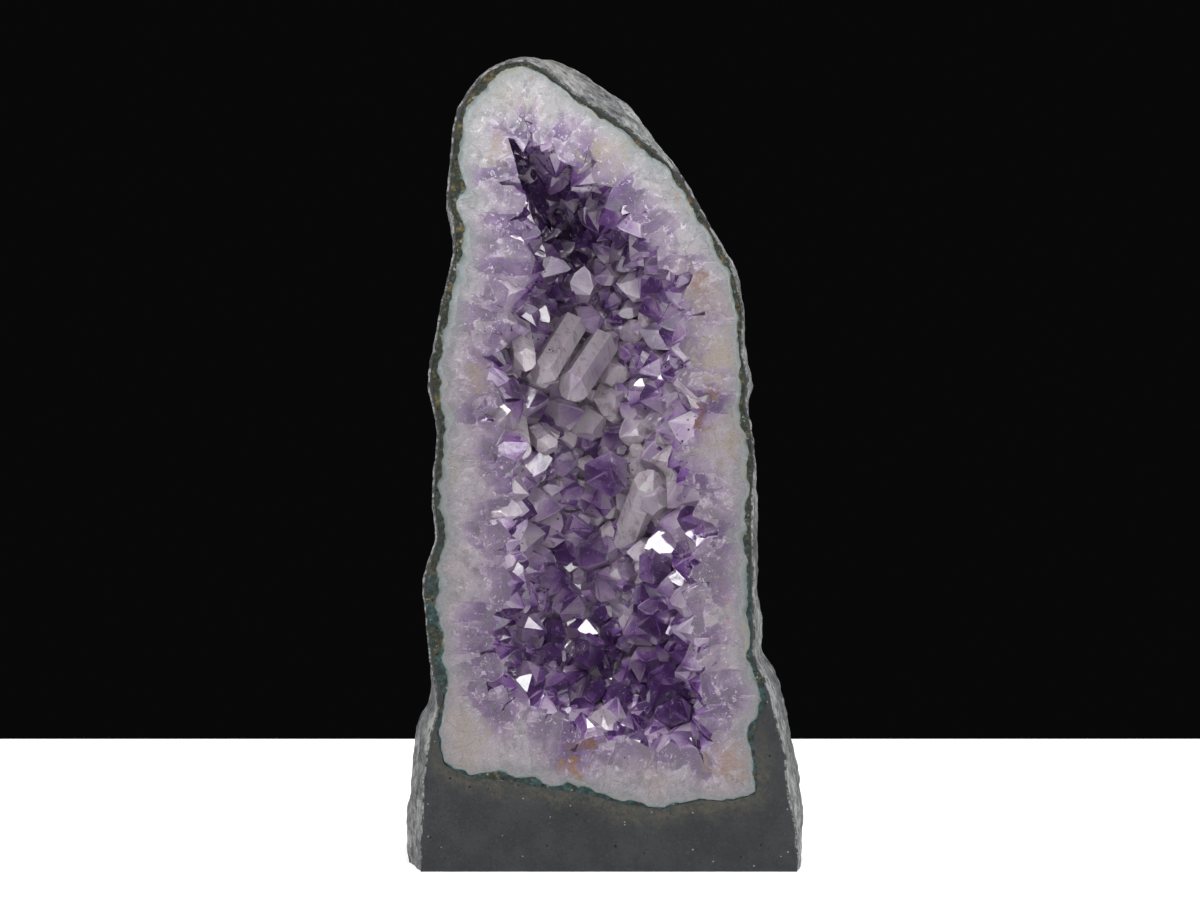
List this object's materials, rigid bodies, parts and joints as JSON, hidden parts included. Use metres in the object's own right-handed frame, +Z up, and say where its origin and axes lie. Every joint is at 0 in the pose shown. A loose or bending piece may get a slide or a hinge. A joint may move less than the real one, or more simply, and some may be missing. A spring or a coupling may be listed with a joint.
{
  "type": "amethyst geode",
  "caption": "Tall cathedral amethyst geode with a sawn front and base, a dark basalt shell and a deep cavity lined with purple quartz crystals.",
  "frame": {"origin": "under the middle of the boulder's bounding box, on the surface it stands on", "axes": "+Z up, the sawn front with the crystal cavity faces -Y, +X to the right as seen from the front"},
  "size_m": [0.1994, 0.1496, 0.4033],
  "materials": {
    "basalt": "honed on the sawn front and base, rough broken rock elsewhere",
    "celadonite": "dull sawn green mineral",
    "chalcedony": "polished, slightly translucent",
    "amethyst": "glossy see-through crystal, milky white at its roots"
  },
  "bodies": {
    "root": {"basalt_matrix": "basalt", "celadonite_rind": "celadonite", "chalcedony_band": "chalcedony", "amethyst_druse": "amethyst"}
  },
  "joints": []
}
